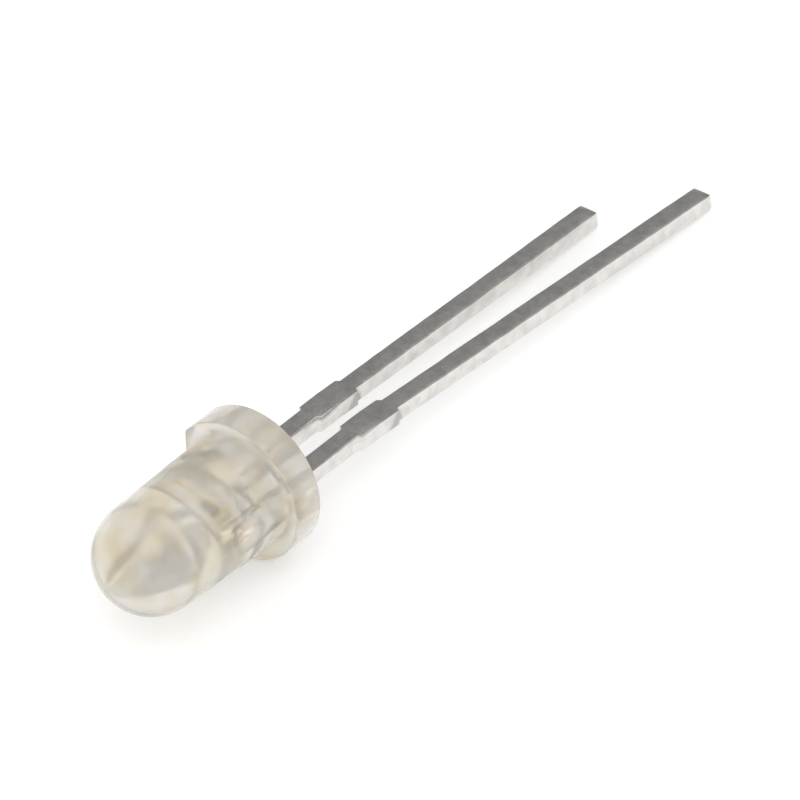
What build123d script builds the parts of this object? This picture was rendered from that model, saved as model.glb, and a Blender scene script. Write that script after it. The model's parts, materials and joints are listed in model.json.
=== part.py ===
from build123d import *
from math import asin, atan, atan2, cos, hypot, radians, sin, sqrt, tan
import os

# Two-lead laser diode in a clear epoxy package with a round lens and a flange.
# Millimetres. It lies at rest: on the rim of its flange and on the tips of both leads.
#
# The package frame used below has its origin at the centre of the flange's underside:
#   s  across the leads, towards the cathode
#   z  along the lens axis, towards the dome
#   h  square to the lead frame, towards the side that carries the chip

os.makedirs("parts", exist_ok=True)

# ---- driving dimensions -------------------------------------------------------------

# Epoxy body
flange_radius = 1.90
flange_thickness = 0.90
flange_edge_radius = 0.07
flat_distance = 1.53         # from the lens axis to the flat that marks the cathode
barrel_radius = 1.50
land_length = 1.20           # straight stretch of the barrel, gripped by a holder
barrel_top_radius = 1.455    # after the mould's draft
barrel_root_radius = 0.06
body_length = 5.52           # from the flange's underside to the top of the dome

# Stamped lead frame
lead_pitch = 1.27
lead_width = 0.51
lead_thickness = 0.45
die_roll = 0.05              # rounding of the stamped edges, on the side away from the chip
cathode_length = 13.10       # below the flange
anode_length = 15.30
stub_start = 2.68            # remains of the tie bar: distance below the flange
stub_length = 1.33
stub_height = 0.10           # how far it stands out of each side of a lead
cathode_lean = 1.6           # degrees, of the lead beyond the tie bar
anode_lean = 3.75

# Inside the epoxy
pad_start = 1.00             # above the flange's underside
pad_length = 1.30
post_width = 0.34
post_top = 2.00
frame_gap = 0.20             # between the pad and the anode's lead and post

# Chip stack, from the pad up to the lens axis
solder_thickness = 0.02
submount_width = 0.50
submount_length = 0.56
submount_thickness = 0.07
submount_setback = 0.04      # from the pad's end to the submount's end
chip_width = 0.25
chip_length = 0.30
chip_thickness = 0.10

# Bond wires
wire_diameter = 0.03
wire_rise = 0.16             # of the loop over its higher end
ball_diameter = 0.09
ball_height = 0.035
stitch_inset = 0.20          # of a wire's end from the edge of the lead it goes to

# ---- derived sizes ------------------------------------------------------------------

dome_start = body_length - barrel_top_radius
half_width = lead_width / 2
cathode_root = lead_pitch / 2
anode_root = -lead_pitch / 2
bend_below = stub_start + stub_length / 2
cathode_tip = cathode_root - (cathode_length - bend_below) * tan(radians(cathode_lean))
anode_tip = anode_root - (anode_length - bend_below) * tan(radians(anode_lean))

# The chip lies face down on its submount, so its emitting edge is on the lens axis, h = 0.
sheet_top = -(solder_thickness + submount_thickness)
sheet_bottom = sheet_top - lead_thickness

cathode_outer = cathode_root + half_width
anode_outer = anode_root - half_width
post_inner = anode_outer + post_width
pad_inner = post_inner + frame_gap
pad_top = pad_start + pad_length
post_start = pad_start - frame_gap
submount_front = pad_top - submount_setback
submount_middle = submount_front - submount_length / 2
chip_middle = submount_front - chip_length / 2

# ---- how it lies --------------------------------------------------------------------

# The rim and the lowest corner of each tip are level. Rolling by roll lowers the cathode's
# side, and tilting by tilt lifts the dome: tan(tilt) = slope * sin(roll).
slope = (cathode_tip - anode_tip) / (anode_length - cathode_length)
reach = cathode_tip + half_width + cathode_length * slope
roll = asin(flange_radius / hypot(reach, sheet_bottom)) - atan2(-sheet_bottom, reach)
tilt = atan(slope * sin(roll))

# The frame's origin is on the floor, in the middle of the footprint's box.
dome_reach = dome_start * cos(tilt) + barrel_top_radius
tip_drop = (anode_tip - half_width) * sin(roll) - sheet_top * cos(roll)
lead_reach = anode_length * cos(tilt) - tip_drop * sin(tilt)
flat_half = sqrt(flange_radius**2 - flat_distance**2)
flat_reach = flat_distance * cos(roll) + flat_half * sin(roll)
centre = Vector(
    (dome_reach - lead_reach) / 2,
    (flange_radius - flat_reach) / 2,
    flange_radius * cos(tilt),
)

dome_way = Vector(-cos(tilt), 0, sin(tilt))
down_way = Vector(-sin(tilt), 0, -cos(tilt))
cathode_way = Vector(0, cos(roll), 0) + down_way * sin(roll)

# across: normal to the lens axis.  sheet: s to the right and z up, with h as its normal.
across = Plane(origin=centre, x_dir=cathode_way, z_dir=dome_way)
sheet = Plane(origin=centre, x_dir=cathode_way, z_dir=-across.y_dir)


# ---- lead frame ---------------------------------------------------------------------


def lead_outline(root, tip, length, top):
    """The lead from its tip up to top inside the epoxy, with what is left of the tie bar."""
    with BuildSketch() as outline:
        with BuildLine():
            Polyline(
                (tip - half_width, -length),
                (tip + half_width, -length),
                (root + half_width, -bend_below),
                (root + half_width, top),
                (root - half_width, top),
                (root - half_width, -bend_below),
                close=True,
            )
        make_face()
        with Locations((root, -bend_below)):
            Rectangle(lead_width + 2 * stub_height, stub_length)
    return outline.sketch


def exposed_edges(lead):
    """The long edges of the lead's underside, outside the epoxy."""
    underside = lead.faces().sort_by(Axis(centre, sheet.z_dir))[0]
    below = underside.edges().filter_by(lambda edge: sheet.to_local_coords(edge.center()).Y < -stub_start)
    return below.filter_by(lambda edge: edge.length > stub_length)


with BuildPart() as cathode_lead:
    with BuildSketch(sheet.offset(sheet_bottom)):
        add(lead_outline(cathode_root, cathode_tip, cathode_length, pad_top))
        with BuildLine():
            Polyline(
                (pad_inner, pad_start),
                (cathode_outer, pad_start),
                (cathode_outer, pad_top),
                (pad_inner, pad_top),
                close=True,
            )
        make_face()
    extrude(amount=lead_thickness)
    fillet(exposed_edges(cathode_lead.part), radius=die_roll)
cathode_lead.part.label = "cathode_lead"
export_step(cathode_lead.part, "parts/cathode_lead.step")

with BuildPart() as anode_lead:
    with BuildSketch(sheet.offset(sheet_bottom)):
        add(lead_outline(anode_root, anode_tip, anode_length, post_start))
        with BuildLine():
            Polyline(
                (anode_outer, post_start),
                (post_inner, post_start),
                (post_inner, post_top),
                (anode_outer, post_top),
                close=True,
            )
        make_face()
    extrude(amount=lead_thickness)
    fillet(exposed_edges(anode_lead.part), radius=die_roll)
anode_lead.part.label = "anode_lead"
export_step(anode_lead.part, "parts/anode_lead.step")

# ---- chip stack on the pad ----------------------------------------------------------

with BuildPart() as solder:
    with BuildSketch(sheet.offset(sheet_top)):
        with Locations((0, submount_middle)):
            Rectangle(submount_width, submount_length)
    extrude(amount=solder_thickness)
solder.part.label = "solder_layer"
export_step(solder.part, "parts/solder_layer.step")

with BuildPart() as submount:
    with BuildSketch(sheet.offset(sheet_top + solder_thickness)):
        with Locations((0, submount_middle)):
            Rectangle(submount_width, submount_length)
    extrude(amount=submount_thickness)
submount.part.label = "submount"
export_step(submount.part, "parts/submount.step")

with BuildPart() as chip:
    with BuildSketch(sheet):
        with Locations((0, chip_middle)):
            Rectangle(chip_width, chip_length)
    extrude(amount=chip_thickness)
chip.part.label = "laser_chip"
export_step(chip.part, "parts/laser_chip.step")

# ---- bond wires ---------------------------------------------------------------------


def bond_pad(place, height):
    """The flattened end of a wire, on the surface at that height."""
    with BuildPart() as pad:
        with BuildSketch(sheet.offset(height)):
            with Locations(place):
                Circle(ball_diameter / 2)
        extrude(amount=ball_height)
    return pad.part


def bond_loop(start, start_height, end, end_height):
    """The wire's arch from one flattened end to the other."""
    first = (*start, start_height + ball_height / 2)
    last = (*end, end_height + ball_height / 2)
    crown = (
        (start[0] + end[0]) / 2,
        (start[1] + end[1]) / 2,
        max(first[2], last[2]) + wire_rise,
    )
    with BuildPart() as loop:
        with BuildLine(sheet) as path:
            ThreePointArc(first, crown, last)
        with BuildSketch(Plane(origin=path.line @ 0, z_dir=path.line % 0)):
            Circle(wire_diameter / 2)
        sweep(path=path.line)
    return loop.part


chip_bond = (0, chip_middle - chip_length / 4)
pad_bond = (cathode_outer - stitch_inset, chip_bond[1] - ball_diameter)
with BuildPart() as chip_wire:
    add(bond_pad(chip_bond, chip_thickness))
    add(bond_pad(pad_bond, sheet_top))
    add(bond_loop(chip_bond, chip_thickness, pad_bond, sheet_top))
chip_wire.part.label = "chip_wire"
export_step(chip_wire.part, "parts/chip_wire.step")

submount_bond = (-(submount_width - ball_diameter) / 2 + wire_diameter, submount_middle - submount_length / 4)
post_bond = (post_inner - post_width / 2, post_top - stitch_inset)
with BuildPart() as submount_wire:
    add(bond_pad(submount_bond, 0))
    add(bond_pad(post_bond, sheet_top))
    add(bond_loop(submount_bond, 0, post_bond, sheet_top))
submount_wire.part.label = "submount_wire"
export_step(submount_wire.part, "parts/submount_wire.step")

# ---- epoxy body, cast round all of it -----------------------------------------------

land_top = flange_thickness + land_length

with BuildPart() as lens_body:
    with BuildSketch(sheet) as half_section:
        with BuildLine():
            Polyline(
                (0, dome_start),
                (0, 0),
                (flange_radius, 0),
                (flange_radius, flange_thickness),
                (barrel_radius, flange_thickness),
                (barrel_radius, land_top),
                (barrel_top_radius, dome_start),
            )
            CenterArc((0, dome_start), barrel_top_radius, start_angle=0, arc_size=90)
            Line((0, body_length), (0, dome_start))
        make_face()
        step = half_section.vertices().group_by(Axis.Y)[1].sort_by(Axis.X)
        fillet(step[-1], radius=flange_edge_radius)
        fillet(step[0], radius=barrel_root_radius)
    revolve(axis=Axis(centre, dome_way))
    with BuildSketch(across):
        with Locations((flat_distance + flange_radius / 2, 0)):
            Rectangle(flange_radius, 2 * flange_radius)
    extrude(amount=flange_thickness, mode=Mode.SUBTRACT)
    for piece in (cathode_lead, anode_lead, solder, submount, chip, chip_wire, submount_wire):
        add(piece.part, mode=Mode.SUBTRACT)
lens_body.part.label = "lens_body"
export_step(lens_body.part, "parts/lens_body.step")
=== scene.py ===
"""A laser diode in a clear epoxy package, lying on a pale surface.

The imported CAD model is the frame. The epoxy body and the two stamped leads are modelled again
as smooth meshes in the same places, and the chip stack and bond wires keep their CAD shapes.

All meshes are made in the package frame and then placed:
    x  across the leads, towards the cathode
    y  along the lens axis, towards the dome
    z  square to the lead frame, towards the side that carries the chip
"""

import json
import logging
import random
from dataclasses import dataclass, field
from enum import Enum
from math import cos, degrees, pi, radians, sin, tan

import bmesh
import bpy
from mathutils import Matrix, Vector


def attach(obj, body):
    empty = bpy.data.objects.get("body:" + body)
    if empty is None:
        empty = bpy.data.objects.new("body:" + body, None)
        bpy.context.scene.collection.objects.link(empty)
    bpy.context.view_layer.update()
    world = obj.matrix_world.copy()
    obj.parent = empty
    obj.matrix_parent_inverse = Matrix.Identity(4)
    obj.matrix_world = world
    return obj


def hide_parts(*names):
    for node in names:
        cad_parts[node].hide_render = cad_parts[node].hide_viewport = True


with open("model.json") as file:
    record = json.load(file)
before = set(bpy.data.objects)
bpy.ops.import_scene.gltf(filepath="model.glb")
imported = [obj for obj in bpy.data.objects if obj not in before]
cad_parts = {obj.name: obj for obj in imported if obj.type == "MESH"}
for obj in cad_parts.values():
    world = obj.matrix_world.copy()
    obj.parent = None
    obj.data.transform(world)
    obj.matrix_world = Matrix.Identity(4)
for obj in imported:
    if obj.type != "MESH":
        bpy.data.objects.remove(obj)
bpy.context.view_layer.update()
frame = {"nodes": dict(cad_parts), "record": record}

LOG = logging.getLogger("laser_diode")
MM = 0.001


class Side(Enum):
    """The two leads, by the way they lie from the lens axis."""

    CATHODE = 1
    ANODE = -1


def mount(name: str) -> dict:
    """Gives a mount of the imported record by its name."""
    return next(entry for entry in frame["record"]["mounts"] if entry["name"] == name)


@dataclass(frozen=True)
class PackageFrame:
    """Where the package lies, read from its mounts.

    Attributes:
        origin: centre of the flange's underside.
        across: unit vector towards the cathode.
        dome: unit vector along the lens axis, towards the dome.
    """

    origin: Vector
    across: Vector
    dome: Vector

    @classmethod
    def from_record(cls) -> "PackageFrame":
        """Reads the frame from the seating face, the cathode's flat and the lens barrel."""
        return cls(
            origin=Vector(mount("seating_face")["pos_m"]),
            across=Vector(mount("cathode_flat")["axis"]).normalized(),
            dome=Vector(mount("lens_barrel")["axis"]).normalized(),
        )

    @property
    def chip_side(self) -> Vector:
        """Gives the direction square to the lead frame, towards the chip."""
        return self.across.cross(self.dome)

    def turn(self) -> Matrix:
        """Gives the rotation from the package frame to the row's frame."""
        return Matrix((self.across, self.dome, self.chip_side)).transposed()

    def matrix(self) -> Matrix:
        """Gives the placement of the package frame in the row's frame."""
        return Matrix.Translation(self.origin) @ self.turn().to_4x4()


PACKAGE = PackageFrame.from_record()


# ---- finishes -----------------------------------------------------------------------


class Finish:
    """A node material being built, with short helpers for its nodes."""

    def __init__(self, name: str) -> None:
        """Starts an empty material with its output and a Principled shader.

        Args:
            name: the material's name.
        """
        self.material = bpy.data.materials.new(name)
        self.material.use_nodes = True
        self.tree = self.material.node_tree
        self.shader = self.tree.nodes["Principled BSDF"]
        self.output = self.tree.nodes["Material Output"]

    def node(self, kind: str, **values: object) -> bpy.types.Node:
        """Adds a node.

        Args:
            kind: the node's type.
            **values: attributes of the node, or inputs by name with _ for a space.

        Returns:
            The new node.
        """
        made = self.tree.nodes.new(kind)
        for key, value in values.items():
            socket = key.replace("_", " ")
            if socket in made.inputs:
                made.inputs[socket].default_value = value
            else:
                setattr(made, key, value)
        return made

    def link(self, start: bpy.types.NodeSocket, end: bpy.types.NodeSocket) -> None:
        """Joins two sockets."""
        self.tree.links.new(start, end)

    def set(self, **values: object) -> None:
        """Sets the Principled shader's own sockets, with _ for a space in their names."""
        for key, value in values.items():
            self.shader.inputs[key.replace("_", " ")].default_value = value

    def package_coordinates(self, cell: tuple[float, float, float]) -> bpy.types.NodeSocket:
        """Gives coordinates in the package frame, where one unit is one cell.

        Args:
            cell: the cell's size along x, y and z, in metres.

        Returns:
            The socket that holds the vector.
        """
        place = self.node("ShaderNodeTexCoord")
        turned = self.node("ShaderNodeMapping", vector_type="TEXTURE")
        turned.inputs["Location"].default_value = PACKAGE.origin
        turned.inputs["Rotation"].default_value = PACKAGE.turn().to_euler()
        turned.inputs["Scale"].default_value = cell
        self.link(place.outputs["Object"], turned.inputs["Vector"])
        return turned.outputs["Vector"]

    def noise(self, cell: tuple[float, float, float], detail: float = 3.0) -> bpy.types.NodeSocket:
        """Gives a noise with features of about one cell.

        Args:
            cell: the features' size along x, y and z, in metres.
            detail: how many finer octaves it has.

        Returns:
            The socket that holds the noise, from 0 to 1.
        """
        made = self.node("ShaderNodeTexNoise", Scale=1.0, Detail=detail, Roughness=0.55)
        self.link(self.package_coordinates(cell), made.inputs["Vector"])
        return made.outputs["Fac"]

    def ramp(self, value: bpy.types.NodeSocket, stops: list[tuple[float, tuple]]) -> bpy.types.NodeSocket:
        """Turns a value into a colour.

        Args:
            value: the socket to read.
            stops: positions with their RGB colours.

        Returns:
            The socket that holds the colour.
        """
        made = self.node("ShaderNodeValToRGB")
        for index, (position, colour) in enumerate(stops):
            stop = made.color_ramp.elements[index] if index < 2 else made.color_ramp.elements.new(position)
            stop.position = position
            stop.color = (*colour, 1.0)
        self.link(value, made.inputs["Fac"])
        return made.outputs["Color"]

    def spread(self, value: bpy.types.NodeSocket, low: float, high: float) -> bpy.types.NodeSocket:
        """Stretches a noise, whose middle half is 0.35 to 0.65, to a range.

        Args:
            value: the socket to read.
            low: the result at the lower end.
            high: the result at the upper end.

        Returns:
            The socket that holds the result.
        """
        made = self.node("ShaderNodeMapRange")
        made.inputs["From Min"].default_value = 0.35
        made.inputs["From Max"].default_value = 0.65
        made.inputs["To Min"].default_value = low
        made.inputs["To Max"].default_value = high
        self.link(value, made.inputs["Value"])
        return made.outputs["Result"]

    def bump(self, *layers: tuple[bpy.types.NodeSocket, float]) -> None:
        """Adds relief to the surface.

        Args:
            *layers: height sockets, each with the depth that a step of 1 stands for, in metres.
        """
        below = None
        for height, depth in layers:
            made = self.node("ShaderNodeBump", Strength=1.0, Distance=depth)
            self.link(height, made.inputs["Height"])
            if below is not None:
                self.link(below, made.inputs["Normal"])
            below = made.outputs["Normal"]
        self.link(below, self.shader.inputs["Normal"])


@dataclass(frozen=True)
class ClearEpoxy:
    """Cast epoxy, clear but a little warm and milky."""

    pale: tuple[float, float, float] = (0.97, 0.955, 0.92)
    warm: tuple[float, float, float] = (0.92, 0.84, 0.67)
    depth_tint: tuple[float, float, float] = (0.93, 0.84, 0.62)
    depth_density: float = 20.0
    clearness: float = 0.68
    bend: float = 1.53

    def make(self) -> bpy.types.Material:
        """Builds the material."""
        finish = Finish("clear_epoxy")
        finish.set(Transmission_Weight=self.clearness, IOR=self.bend)
        haze = finish.noise((1.1 * MM, 1.1 * MM, 1.1 * MM), detail=2.0)
        colour = finish.ramp(haze, [(0.38, self.pale), (0.64, self.warm)])
        finish.link(colour, finish.shader.inputs["Base Color"])
        finish.link(finish.spread(haze, 0.07, 0.17), finish.shader.inputs["Roughness"])
        ripple = finish.noise((0.7 * MM, 0.7 * MM, 0.7 * MM), detail=1.0)
        finish.bump((ripple, 0.004 * MM))
        depth_colour = (*self.depth_tint, 1.0)
        inside = finish.node("ShaderNodeVolumeAbsorption", Color=depth_colour, Density=self.depth_density)
        finish.link(inside.outputs["Volume"], finish.output.inputs["Volume"])
        return finish.material


@dataclass(frozen=True)
class TinPlate:
    """Tin-plated steel strip with a dull satin gloss and a fine grain."""

    pale: tuple[float, float, float] = (0.78, 0.76, 0.73)
    dark: tuple[float, float, float] = (0.66, 0.64, 0.62)
    gloss: tuple[float, float] = (0.20, 0.27)

    def make(self) -> bpy.types.Material:
        """Builds the material."""
        finish = Finish("tinned_steel")
        finish.set(Metallic=1.0)
        cloud = finish.noise((0.3 * MM, 0.3 * MM, 0.3 * MM), detail=6.0)
        colour = finish.ramp(cloud, [(0.35, self.dark), (0.62, self.pale)])
        finish.link(colour, finish.shader.inputs["Base Color"])
        wear = finish.noise((0.12 * MM, 0.12 * MM, 0.12 * MM))
        finish.link(finish.spread(wear, *self.gloss), finish.shader.inputs["Roughness"])
        grain = finish.noise((0.07 * MM, 0.07 * MM, 0.07 * MM), detail=5.0)
        swell = finish.noise((0.5 * MM, 0.5 * MM, 0.5 * MM), detail=1.0)
        finish.bump((grain, 0.003 * MM), (swell, 0.003 * MM))
        return finish.material


@dataclass(frozen=True)
class SmallPart:
    """A finish for the small pieces inside the epoxy, with a fine mottle and grain.

    Attributes:
        name: the material's name.
        dark: colour of the mottle's low spots.
        pale: colour of its high spots.
        metallic: 1 for metal, 0 otherwise.
        gloss: lowest and highest roughness.
    """

    name: str
    dark: tuple[float, float, float]
    pale: tuple[float, float, float]
    metallic: float
    gloss: tuple[float, float]

    def make(self) -> bpy.types.Material:
        """Builds the material."""
        finish = Finish(self.name)
        finish.set(Metallic=self.metallic)
        mottle = finish.noise((0.06 * MM, 0.06 * MM, 0.06 * MM))
        colour = finish.ramp(mottle, [(0.35, self.dark), (0.65, self.pale)])
        finish.link(colour, finish.shader.inputs["Base Color"])
        finish.link(finish.spread(mottle, *self.gloss), finish.shader.inputs["Roughness"])
        finish.bump((mottle, 0.001 * MM))
        return finish.material


SOLDER = SmallPart("die_solder", (0.52, 0.52, 0.50), (0.70, 0.70, 0.68), 1.0, (0.3, 0.5))
CERAMIC = SmallPart("submount_ceramic", (0.72, 0.69, 0.60), (0.84, 0.81, 0.72), 0.0, (0.3, 0.45))
CRYSTAL = SmallPart("chip_crystal", (0.30, 0.29, 0.31), (0.44, 0.43, 0.45), 1.0, (0.2, 0.3))
GOLD = SmallPart("gold_wire", (0.86, 0.60, 0.22), (0.98, 0.76, 0.36), 1.0, (0.15, 0.28))


# ---- meshes -------------------------------------------------------------------------


def finished_piece(name: str, shape: bmesh.types.BMesh, material: bpy.types.Material) -> bpy.types.Object:
    """Places a mesh made in the package frame and turns it into a smooth-shaded piece.

    Args:
        name: the piece's name.
        shape: the mesh, in the package frame. It is freed here.
        material: the piece's finish.

    Returns:
        The piece, riding on the one body.
    """
    bmesh.ops.transform(shape, matrix=PACKAGE.matrix(), verts=shape.verts)
    bmesh.ops.recalc_face_normals(shape, faces=shape.faces)
    for face in shape.faces:
        face.smooth = True
    mesh = bpy.data.meshes.new(name)
    shape.to_mesh(mesh)
    shape.free()
    mesh.materials.append(material)
    piece = bpy.data.objects.new(name, mesh)
    bpy.context.scene.collection.objects.link(piece)
    weigh = piece.modifiers.new("flat faces stay flat", "WEIGHTED_NORMAL")
    weigh.mode = "FACE_AREA"
    weigh.weight = 90
    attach(piece, "root")
    return piece


@dataclass
class EpoxyBody:
    """The cast body: a flange with one flat, a round barrel and a domed lens."""

    flange_radius: float = 1.90 * MM
    flange_thickness: float = 0.90 * MM
    flange_edge_radius: float = 0.07 * MM
    underside_edge_radius: float = 0.03 * MM
    flat_distance: float = 1.53 * MM
    barrel_radius: float = 1.50 * MM
    barrel_root_radius: float = 0.06 * MM
    land_top: float = 2.10 * MM
    land_step: float = 0.010 * MM
    top_radius: float = 1.455 * MM
    body_length: float = 5.52 * MM
    segments: int = 192
    dome_steps: int = 44

    def half_section(self, shape: bmesh.types.BMesh) -> None:
        """Draws the outline that is turned about the lens axis.

        Args:
            shape: the mesh that takes the outline.
        """
        dome_start = self.body_length - self.top_radius
        below_step = self.land_top - self.land_step
        corners = [
            (0.0, 0.0),
            (self.flange_radius, 0.0),
            (self.flange_radius, self.flange_thickness),
            (self.barrel_radius, self.flange_thickness),
            (self.barrel_radius, below_step),
            (self.barrel_radius - self.land_step, self.land_top),
            (self.top_radius, dome_start),
        ]
        points = [shape.verts.new((radius, height, 0.0)) for radius, height in corners]
        for start, end in zip(points, points[1:]):
            shape.edges.new((start, end))
        bmesh.ops.spin(
            shape,
            geom=[points[-1]],
            cent=(0.0, dome_start, 0.0),
            axis=(0.0, 0.0, 1.0),
            angle=pi / 2,
            steps=self.dome_steps,
        )

    def ring(self, shape: bmesh.types.BMesh, height: float, radius: float) -> list[bmesh.types.BMEdge]:
        """Finds the edges that run round the body at one height, at least that far out.

        Args:
            shape: the turned mesh.
            height: distance above the flange's underside.
            radius: the least distance from the lens axis, along the flat too.

        Returns:
            The edges.
        """
        near = 1e-7
        rim = [
            edge
            for edge in shape.edges
            if all(abs(vertex.co.y - height) < near for vertex in edge.verts)
            and all(vertex.co.xz.length > radius - near for vertex in edge.verts)
        ]
        return [
            edge
            for edge in rim
            if any(len(face.verts) > 4 or abs(face.normal.y) < 0.5 for face in edge.link_faces)
        ]

    def build(self, material: bpy.types.Material) -> bpy.types.Object:
        """Turns the outline, cuts the flat and rounds the edges.

        Args:
            material: the epoxy's finish.

        Returns:
            The finished piece.
        """
        shape = bmesh.new()
        self.half_section(shape)
        bmesh.ops.spin(
            shape,
            geom=shape.verts[:] + shape.edges[:],
            cent=(0.0, 0.0, 0.0),
            axis=(0.0, 1.0, 0.0),
            angle=2 * pi,
            steps=self.segments,
            use_merge=True,
        )
        bmesh.ops.remove_doubles(shape, verts=shape.verts, dist=1e-8)
        cut = bmesh.ops.bisect_plane(
            shape,
            geom=shape.verts[:] + shape.edges[:] + shape.faces[:],
            plane_co=(self.flat_distance, 0.0, 0.0),
            plane_no=(1.0, 0.0, 0.0),
            clear_outer=True,
        )
        rim = [item for item in cut["geom_cut"] if isinstance(item, bmesh.types.BMEdge)]
        bmesh.ops.edgeloop_fill(shape, edges=rim)
        bmesh.ops.recalc_face_normals(shape, faces=shape.faces)
        rounds = [
            (self.flange_thickness, self.flat_distance, self.flange_edge_radius, 5),
            (0.0, self.flat_distance, self.underside_edge_radius, 3),
        ]
        for height, reach, radius, steps in rounds:
            bmesh.ops.bevel(
                shape,
                geom=self.ring(shape, height, reach),
                offset=radius,
                affect="EDGES",
                segments=steps,
                profile=0.5,
                material=-1,
                clamp_overlap=True,
            )
        return finished_piece("clear_epoxy_body", shape, material)


@dataclass
class StampedLead:
    """One lead of the frame: its shank, what is left of the tie bar, and its end in the epoxy.

    Attributes:
        side: which lead it is.
        length: below the flange.
        lean: degrees from the lens axis beyond the tie bar.
        inner_start: where it widens or narrows inside the epoxy.
        inner_end: its end inside the epoxy.
        inner_edge: the edge nearer the lens axis there.
        seed: for the small unevenness of its sheared edges.
    """

    side: Side
    length: float
    lean: float
    inner_start: float
    inner_end: float
    inner_edge: float
    seed: int
    pitch: float = 1.27 * MM
    width: float = 0.51 * MM
    thickness: float = 0.45 * MM
    face_height: float = -0.09 * MM
    stub_start: float = 2.68 * MM
    stub_length: float = 1.33 * MM
    stub_height: float = 0.10 * MM
    stub_slope: float = 0.07 * MM
    edge_radius: float = 0.03 * MM
    tip_radius: float = 0.13 * MM
    unevenness: float = 0.006 * MM
    station_gap: float = 0.30 * MM

    def middle(self, height: float) -> float:
        """Gives the middle of the lead at a height along the lens axis."""
        bend = -(self.stub_start + self.stub_length / 2)
        root = self.side.value * self.pitch / 2
        return root - max(bend - height, 0.0) * tan(radians(self.lean))

    def stations(self) -> list[tuple[float, float, float]]:
        """Gives height, left edge and right edge at each station, from the tip upwards."""
        half = self.width / 2
        stub_top = -self.stub_start
        stub_bottom = stub_top - self.stub_length
        steps = round((self.length + stub_bottom - self.station_gap) / self.station_gap)
        gap = (self.length + stub_bottom - self.stub_slope) / steps
        heights = [(-self.length + gap * step, 0.0) for step in range(steps)]
        heights += [
            (stub_bottom - self.stub_slope, 0.0),
            (stub_bottom, self.stub_height),
            ((stub_top + stub_bottom) / 2, self.stub_height),
            (stub_top, self.stub_height),
            (stub_top + self.stub_slope, 0.0),
            (stub_top / 2, 0.0),
            (0.0, 0.0),
            (self.inner_start, 0.0),
        ]
        rows = [(y, self.middle(y) - half - extra, self.middle(y) + half + extra) for y, extra in heights]
        outer = self.side.value * (self.pitch / 2 + half)
        left, right = sorted((self.inner_edge, outer))
        return rows + [(self.inner_start + 0.01 * MM, left, right), (self.inner_end, left, right)]

    def build(self, material: bpy.types.Material) -> bpy.types.Object:
        """Extrudes the section from station to station and rounds the long edges.

        Args:
            material: the plating.

        Returns:
            The finished piece.
        """
        chance = random.Random(self.seed)
        shape = bmesh.new()
        rows = self.stations()
        height, left, right = rows[0]
        low = self.face_height - self.thickness
        corners = [(left, low), (right, low), (right, self.face_height), (left, self.face_height)]
        end = shape.faces.new([shape.verts.new((x, height, z)) for x, z in corners])
        tip_edges = list(end.edges)
        for height, left, right in rows[1:]:
            grown = bmesh.ops.extrude_face_region(shape, geom=[end])["geom"]
            bmesh.ops.delete(shape, geom=[end], context="FACES_ONLY")
            end = next(item for item in grown if isinstance(item, bmesh.types.BMFace))
            middle = sum(vertex.co.x for vertex in end.verts) / 4
            for vertex in end.verts:
                vertex.co.x = left if vertex.co.x < middle else right
                vertex.co.y = height
        cap = [vertex for vertex in shape.verts if abs(vertex.co.y - rows[0][0]) < 1e-9]
        bmesh.ops.contextual_create(shape, geom=cap)
        bmesh.ops.recalc_face_normals(shape, faces=shape.faces)
        for vertex in shape.verts:
            if vertex.co.y < 0:
                vertex.co.x += chance.uniform(-self.unevenness, self.unevenness)
                vertex.co.z += chance.uniform(-self.unevenness, self.unevenness) / 2
        self.round_off(shape, [edge for edge in tip_edges if edge.is_valid], self.tip_radius)
        self.round_off(shape, self.sharp_edges(shape), self.edge_radius)
        return finished_piece(f"{self.side.name.lower()}_strip", shape, material)

    def sharp_edges(self, shape: bmesh.types.BMesh) -> list[bmesh.types.BMEdge]:
        """Finds the lead's long corners outside the epoxy, which follow its length.

        Args:
            shape: the lead's mesh.

        Returns:
            The edges.
        """
        return [
            edge
            for edge in shape.edges
            if abs(edge.verts[0].co.y - edge.verts[1].co.y) > 1e-9
            and max(vertex.co.y for vertex in edge.verts) < 1e-9
            and edge.calc_face_angle(0.0) > radians(50)
        ]

    def round_off(self, shape: bmesh.types.BMesh, edges: list[bmesh.types.BMEdge], radius: float) -> None:
        """Rounds edges.

        Args:
            shape: the lead's mesh.
            edges: what to round.
            radius: how far the rounding reaches.
        """
        bmesh.ops.bevel(
            shape,
            geom=edges,
            offset=radius,
            affect="EDGES",
            segments=4,
            profile=0.5,
            material=-1,
            clamp_overlap=True,
        )


# ---- light, floor and camera --------------------------------------------------------


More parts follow.
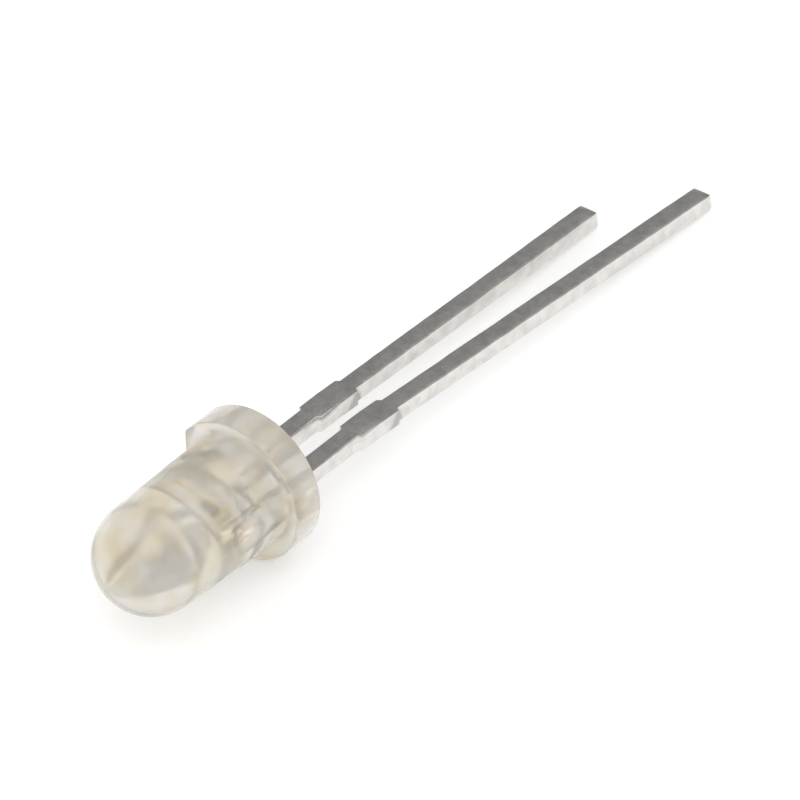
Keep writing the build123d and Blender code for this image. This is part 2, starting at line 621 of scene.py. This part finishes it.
@dataclass
class Studio:
    """A pale surface under broad soft light."""

    floor_half: float = 600 * MM
    floor_colour: tuple[float, float, float] = (0.86, 0.86, 0.86)
    floor_glow: float = 0.30
    sky: float = 0.84
    band: float = 0.27
    zenith: float = 1.1
    lamps: list[tuple[str, tuple[float, float, float], float, float]] = field(
        default_factory=lambda: [
            ("overhead", (-0.35, -0.25, 0.90), 150 * MM, 1.3),
            ("front", (-0.85, -0.45, 0.30), 90 * MM, 1.2),
        ]
    )
    lamp_distance: float = 220 * MM

    def floor(self) -> None:
        """Makes the surface, white to the eye, that still takes the object's shadow."""
        shape = bmesh.new()
        bmesh.ops.create_grid(shape, x_segments=1, y_segments=1, size=self.floor_half)
        mesh = bpy.data.meshes.new("floor")
        shape.to_mesh(mesh)
        shape.free()
        plane = bpy.data.objects.new("floor", mesh)
        bpy.context.scene.collection.objects.link(plane)
        finish = Finish("floor_white")
        finish.set(Base_Color=(*self.floor_colour, 1.0), Roughness=1.0, Specular_IOR_Level=0.0)
        seen = finish.node("ShaderNodeLightPath")
        first = finish.node("ShaderNodeMath", operation="MAXIMUM")
        second = finish.node("ShaderNodeMath", operation="MAXIMUM")
        strength = finish.node("ShaderNodeMath", operation="MULTIPLY")
        strength.inputs[1].default_value = self.floor_glow
        finish.link(seen.outputs["Is Camera Ray"], first.inputs[0])
        finish.link(seen.outputs["Is Glossy Ray"], first.inputs[1])
        finish.link(first.outputs[0], second.inputs[0])
        finish.link(seen.outputs["Is Transmission Ray"], second.inputs[1])
        finish.link(second.outputs[0], strength.inputs[0])
        finish.link(strength.outputs[0], finish.shader.inputs["Emission Strength"])
        finish.set(Emission_Color=(1.0, 1.0, 1.0, 1.0))
        mesh.materials.append(finish.material)

    def lights(self) -> None:
        """Hangs the lamps."""
        aim = PACKAGE.origin
        for name, way, size, radiance in self.lamps:
            data = bpy.data.lights.new(name, "AREA")
            data.shape = "DISK"
            data.size = size
            data.energy = radiance * pi * pi * (size / 2) ** 2
            lamp = bpy.data.objects.new(name, data)
            direction = Vector(way).normalized()
            lamp.location = aim + direction * self.lamp_distance
            lamp.rotation_euler = direction.to_track_quat("Z", "Y").to_euler()
            bpy.context.scene.collection.objects.link(lamp)

    def world(self) -> None:
        """Makes the sky: white to the eye and through glass, with a dim band for glossy metal."""
        world = bpy.data.worlds.new("sky")
        world.use_nodes = True
        tree = world.node_tree
        back = tree.nodes["Background"]
        seen = tree.nodes.new("ShaderNodeLightPath")
        place = tree.nodes.new("ShaderNodeTexCoord")
        parts = tree.nodes.new("ShaderNodeSeparateXYZ")
        climb = tree.nodes.new("ShaderNodeValToRGB")
        stops = [(0.0, 1.0), (0.06, self.band), (0.62, self.band), (0.92, self.zenith)]
        for index, (height, grey) in enumerate(stops):
            stop = climb.color_ramp.elements[index] if index < 2 else climb.color_ramp.elements.new(height)
            stop.position = height
            stop.color = (grey, grey, grey, 1.0)
        lit = tree.nodes.new("ShaderNodeMix")
        lit.data_type = "RGBA"
        lit.inputs["A"].default_value = (self.sky, self.sky, self.sky, 1.0)
        white = tree.nodes.new("ShaderNodeMix")
        white.data_type = "RGBA"
        white.inputs["B"].default_value = (1.0, 1.0, 1.0, 1.0)
        clear = tree.nodes.new("ShaderNodeMath")
        clear.operation = "MAXIMUM"
        tree.links.new(place.outputs["Generated"], parts.inputs["Vector"])
        tree.links.new(parts.outputs["Z"], climb.inputs["Fac"])
        tree.links.new(seen.outputs["Is Glossy Ray"], lit.inputs["Factor"])
        tree.links.new(climb.outputs["Color"], lit.inputs["B"])
        tree.links.new(seen.outputs["Is Camera Ray"], clear.inputs[0])
        tree.links.new(seen.outputs["Is Transmission Ray"], clear.inputs[1])
        tree.links.new(clear.outputs["Value"], white.inputs["Factor"])
        tree.links.new(lit.outputs["Result"], white.inputs["A"])
        tree.links.new(white.outputs["Result"], back.inputs["Color"])
        bpy.context.scene.world = world

    def build(self) -> None:
        """Makes the floor and the light, and sets the plain view transform."""
        self.floor()
        self.lights()
        self.world()
        bpy.context.scene.view_settings.view_transform = "Standard"


@dataclass
class Viewpoint:
    """The camera, placed by how the lens axis and the lead frame are seen.

    Attributes:
        axis_angle: degrees between the lens axis and the line of sight.
        axis_slope: degrees of the lens axis below the horizontal of the picture.
        frame_turn: degrees that the lead frame is turned about the lens axis.
        distance: from the flange to the camera.
        aim: how far right of the flange's centre, and above it, the camera points.
        picture_width: what the picture spans at the flange.
    """

    axis_angle: float = 53.03
    axis_slope: float = 37.64
    frame_turn: float = 130.6
    distance: float = 600 * MM
    aim: tuple[float, float] = (3.365 * MM, 1.754 * MM)
    picture_width: float = 19.175 * MM

    def build(self) -> None:
        """Makes the scene's camera."""
        theta, alpha, psi = (radians(a) for a in (self.axis_angle, self.axis_slope, self.frame_turn))
        lens_axis = Vector((-cos(alpha) * sin(theta), -sin(alpha) * sin(theta), cos(theta)))
        rising = Vector((cos(alpha) * cos(theta), sin(alpha) * cos(theta), sin(theta)))
        sideways = lens_axis.cross(rising)
        away = -PACKAGE.chip_side
        seen = Matrix((lens_axis, rising, sideways)).transposed()
        real = Matrix(
            (
                PACKAGE.dome,
                PACKAGE.across * cos(psi) - away * sin(psi),
                PACKAGE.across * sin(psi) + away * cos(psi),
            )
        ).transposed()
        turn = real @ seen.transposed()
        data = bpy.data.cameras.new("camera")
        data.sensor_width = 36.0
        data.lens = data.sensor_width * self.distance / self.picture_width
        data.clip_start = 10 * MM
        camera = bpy.data.objects.new("camera", data)
        place = PACKAGE.origin + turn @ Vector((*self.aim, self.distance))
        camera.matrix_world = Matrix.Translation(place) @ turn.to_4x4()
        bpy.context.scene.collection.objects.link(camera)
        bpy.context.scene.camera = camera
        back = turn.col[2]
        elevation = degrees(pi / 2 - back.angle(Vector((0.0, 0.0, 1.0))))
        LOG.info("camera %.1f degrees above the floor", elevation)


# ---- assembly -----------------------------------------------------------------------


@dataclass
class LaserDiode:
    """The whole part: body, lead frame, chip stack and bond wires."""

    body: EpoxyBody = field(default_factory=EpoxyBody)
    leads: tuple[StampedLead, StampedLead] = (
        StampedLead(Side.CATHODE, 13.10 * MM, 1.6, 1.00 * MM, 2.30 * MM, -0.35 * MM, 3),
        StampedLead(Side.ANODE, 15.30 * MM, 3.75, 0.80 * MM, 2.00 * MM, -0.55 * MM, 8),
    )

    def dress(self, node: str, finish: bpy.types.Material) -> None:
        """Gives a CAD node its finish.

        Args:
            node: the node's name.
            finish: its material.
        """
        for slot in frame["nodes"][node].material_slots:
            slot.material = finish
        LOG.info("dressed %s", node)

    def build(self) -> None:
        """Builds and dresses every piece."""
        body = self.body.build(ClearEpoxy().make())
        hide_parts("lens_body")
        LOG.info("built %s", body.name)
        plating = TinPlate().make()
        for lead in self.leads:
            piece = lead.build(plating)
            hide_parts(f"{lead.side.name.lower()}_lead")
            LOG.info("built %s", piece.name)
        gold = GOLD.make()
        self.dress("solder_layer", SOLDER.make())
        self.dress("submount", CERAMIC.make())
        self.dress("laser_chip", CRYSTAL.make())
        self.dress("chip_wire", gold)
        self.dress("submount_wire", gold)


def main() -> None:
    """Builds the studio, the camera and the part."""
    logging.basicConfig(level=logging.INFO, format="%(name)s: %(message)s")
    Studio().build()
    Viewpoint().build()
    LaserDiode().build()


if __name__ == "__main__":
    main()
